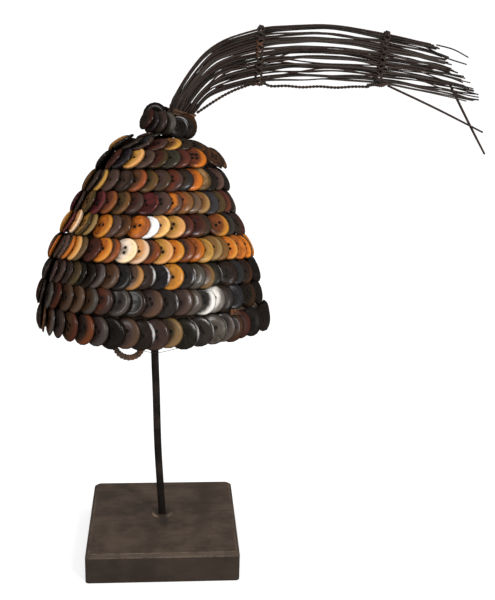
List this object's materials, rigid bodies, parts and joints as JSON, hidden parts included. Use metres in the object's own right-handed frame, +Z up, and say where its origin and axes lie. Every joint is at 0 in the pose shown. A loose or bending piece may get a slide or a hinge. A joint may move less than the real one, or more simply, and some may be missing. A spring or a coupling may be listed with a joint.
{
  "type": "button-covered ceremonial headdress on a stand",
  "caption": "Conical cap covered in rings of overlapping sewn-on buttons, with a bound bristle plume arching from its crown and a plaited chin strap, on a rod and block stand.",
  "frame": {"origin": "middle of the stand block's underside", "axes": "+Z up, +X the way the plume points, -Y the side that the picture shows; the cap leans back towards +Y"},
  "size_m": [0.3894, 0.1851, 0.4888],
  "materials": {
    "dark_wood": "dark-stained block, mottled on top, dull sheen",
    "dark_steel": "blackened thin steel rod, slightly rusty",
    "pad_wood": "plain bare wood, hidden under the crown",
    "cap_fibre": "woven plant fibre cap, matt",
    "dark_buttons": "polished black and dark brown buttons",
    "slate_buttons": "polished grey and dark buttons",
    "brown_buttons": "polished brown buttons with a few orange ones",
    "amber_buttons": "polished amber and orange buttons",
    "tan_buttons": "polished tan, amber and brown buttons",
    "plum_buttons": "polished plum, maroon and brown buttons",
    "plume_bristle": "stiff blackish brown bristle, a soft sheen",
    "tie_fibre": "twined and twisted plant fibre",
    "strap_fibre": "plaited plant fibre"
  },
  "bodies": {
    "root": {"stand_block": "dark_wood", "stand_rod": "dark_steel", "stand_pad": "pad_wood", "cap_shell": "cap_fibre", "button_row_01": "dark_buttons", "button_row_02": "slate_buttons", "button_row_03": "dark_buttons", "button_row_04": "amber_buttons", "button_row_05": "tan_buttons", "button_row_06": "plum_buttons", "button_row_07": "brown_buttons", "button_row_08": "plum_buttons", "button_row_09": "brown_buttons", "button_row_10": "dark_buttons", "topknot_ring": "dark_buttons", "plume": "plume_bristle", "plume_tie_inner": "tie_fibre", "plume_tie_outer": "tie_fibre", "plume_cord_root": "tie_fibre", "plume_cord_span": "tie_fibre", "chin_strap": "strap_fibre"}
  },
  "joints": []
}
